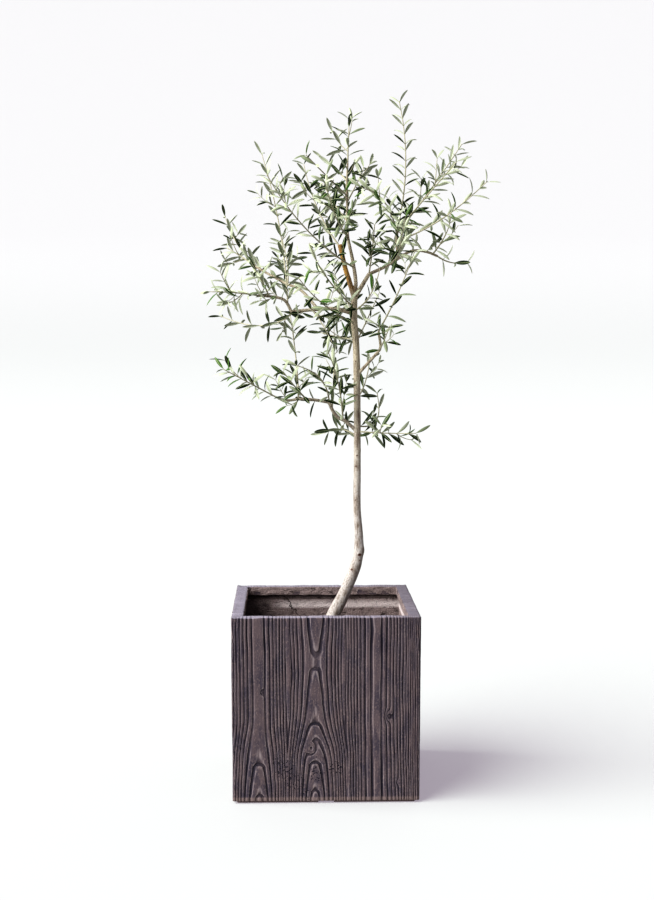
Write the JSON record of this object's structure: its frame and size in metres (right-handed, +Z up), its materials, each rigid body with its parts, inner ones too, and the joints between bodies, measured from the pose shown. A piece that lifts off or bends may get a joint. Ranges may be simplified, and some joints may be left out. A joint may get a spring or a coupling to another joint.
{
  "type": "potted olive tree",
  "caption": "Young olive tree with a bent slender trunk and an open crown of narrow grey-green leaves, in a square planter with a wood-grain face.",
  "frame": {"origin": "centre of the planter's flat underside", "axes": "+Z up; +X to the right seen from the front; the front of the tree and planter faces -Y"},
  "size_m": [0.6525, 0.5653, 1.5397],
  "materials": {
    "pot": "matte cast fibre clay with a stained wood-grain relief",
    "soil": "loose dark potting compost",
    "bark": "smooth grey-tan young bark",
    "cut_wood": "ochre bark of a pruned shoot",
    "foliage": "leathery grey-green leaves, paler below"
  },
  "bodies": {
    "root": {"pot": "pot", "soil": "soil", "trunk": "bark", "middle_leader": "bark", "pruned_stub": "cut_wood", "right_bough": "bark", "right_bough_outer": "bark", "right_riser": "bark", "left_limb_inner": "bark", "left_limb_outer": "bark", "second_left_bough": "bark", "low_left_bough_inner": "bark", "low_left_bough_outer": "bark", "low_right_bough": "bark", "leaves_crown_top": "foliage", "leaves_crown_left_front": "foliage", "leaves_crown_left_back": "foliage", "leaves_crown_right_back": "foliage", "leaves_crown_back": "foliage", "leaves_crown_front": "foliage", "leaves_left_fan": "foliage", "leaves_stub_shoot": "foliage", "leaves_right_tall_shoot": "foliage", "leaves_right_high": "foliage", "leaves_right_high_front": "foliage", "leaves_right_out": "foliage", "leaves_right_inward": "foliage", "leaves_right_reach": "foliage", "leaves_right_edge_up": "foliage", "leaves_right_back": "foliage", "leaves_right_front": "foliage", "leaves_inner_upright": "foliage", "leaves_left_end": "foliage", "leaves_left_front_up": "foliage", "leaves_left_tall": "foliage", "leaves_left_hanging": "foliage", "leaves_centre_hanging": "foliage", "leaves_second_left_end": "foliage", "leaves_left_back_tall": "foliage", "leaves_left_back": "foliage", "leaves_centre_left_front": "foliage", "leaves_centre_front": "foliage", "leaves_centre_back": "foliage", "leaves_centre_left_back": "foliage", "leaves_centre_right_front": "foliage", "leaves_right_middle_back": "foliage", "leaves_right_middle": "foliage", "leaves_right_middle_front": "foliage", "leaves_low_back": "foliage", "leaves_low_right": "foliage", "leaves_low_right_front": "foliage", "leaves_low_left_back": "foliage", "leaves_low_left_rise": "foliage", "leaves_low_left_front": "foliage", "leaves_low_front": "foliage", "leaves_low_left_end": "foliage", "leaves_low_left_tall": "foliage", "leaves_low_left_tuft": "foliage"}
  },
  "joints": []
}
